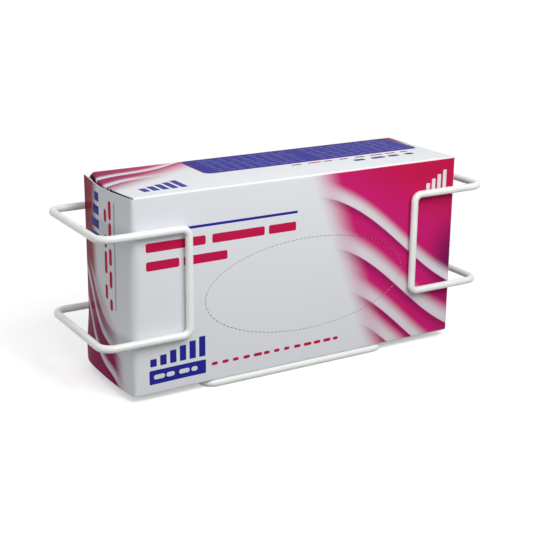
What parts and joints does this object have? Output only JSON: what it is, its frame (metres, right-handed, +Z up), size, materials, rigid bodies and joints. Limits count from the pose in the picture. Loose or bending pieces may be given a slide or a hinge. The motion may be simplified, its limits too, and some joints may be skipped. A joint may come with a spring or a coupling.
{
  "type": "disposable glove dispenser",
  "caption": "Wall rack of white coated wire: retainers wrap the ends of a sealed glove carton with a tear-out oval, which stands on a wire shelf loop.",
  "frame": {"origin": "on the wall plane, midway between the centres of the two screw eyes", "axes": "+X to the right seen from the room, -Y out of the wall towards the room, +Z up"},
  "size_m": [0.2884, 0.0902, 0.1298],
  "materials": {
    "white_coating": "glossy white epoxy coating",
    "carton_board": "coated card with a light varnish, printed in magenta and blue"
  },
  "bodies": {
    "root": {"left_retainer_wire": "white_coating", "right_retainer_wire": "white_coating", "shelf_wire": "white_coating", "glove_carton": "carton_board"}
  },
  "joints": []
}
